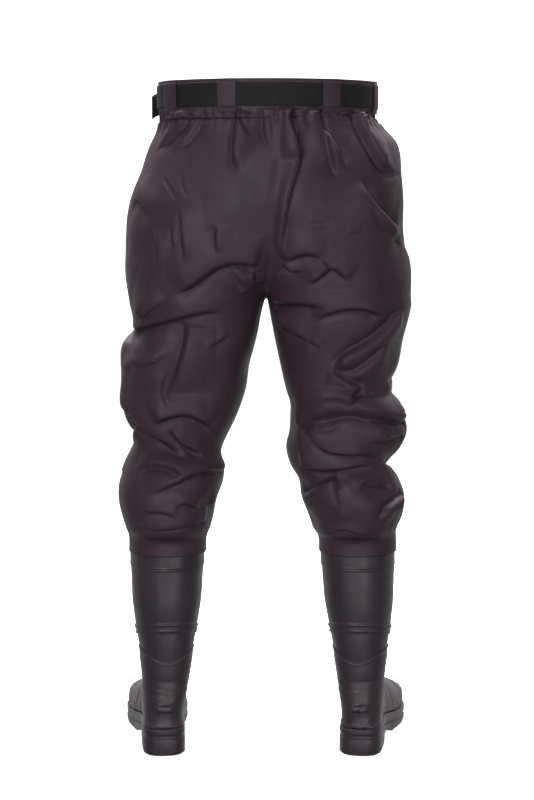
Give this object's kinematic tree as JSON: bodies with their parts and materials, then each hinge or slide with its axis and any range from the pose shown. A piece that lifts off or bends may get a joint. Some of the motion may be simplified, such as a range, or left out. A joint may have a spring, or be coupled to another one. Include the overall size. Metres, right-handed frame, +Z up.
{
  "type": "waist wader",
  "caption": "Waist-high waders: wide fabric trousers welded to moulded rubber boots, with a gathered waistband, loops and a buckled webbing belt.",
  "frame": {"origin": "on the floor under the middle of the box that holds the standing waders", "axes": "+Z up, +Y the way the toes point, +X towards the wearer's right"},
  "size_m": [0.5013, 0.3927, 1.126],
  "materials": {
    "trouser_fabric": "coated woven nylon, satin, dark grey with a brown cast",
    "boot_pvc": "moulded soft plastic, satin, charcoal",
    "boot_lining": "matt knitted lining, grey",
    "belt_webbing": "woven webbing, matt black",
    "buckle_plastic": "moulded, matt black"
  },
  "bodies": {
    "root": {"left_trouser_leg": "trouser_fabric", "right_trouser_leg": "trouser_fabric", "waistband": "trouser_fabric", "belt_loop_back_left": "trouser_fabric", "belt_loop_back_right": "trouser_fabric", "belt_loop_side_left": "trouser_fabric", "belt_loop_side_right": "trouser_fabric", "belt_loop_front_left": "trouser_fabric", "belt_loop_front_right": "trouser_fabric", "left_boot_upper": "boot_pvc", "right_boot_upper": "boot_pvc", "left_outsole": "boot_pvc", "right_outsole": "boot_pvc", "left_insole": "boot_lining", "right_insole": "boot_lining", "belt": "belt_webbing", "belt_tail": "belt_webbing", "buckle_socket": "buckle_plastic", "buckle_plug": "buckle_plastic"}
  },
  "joints": []
}
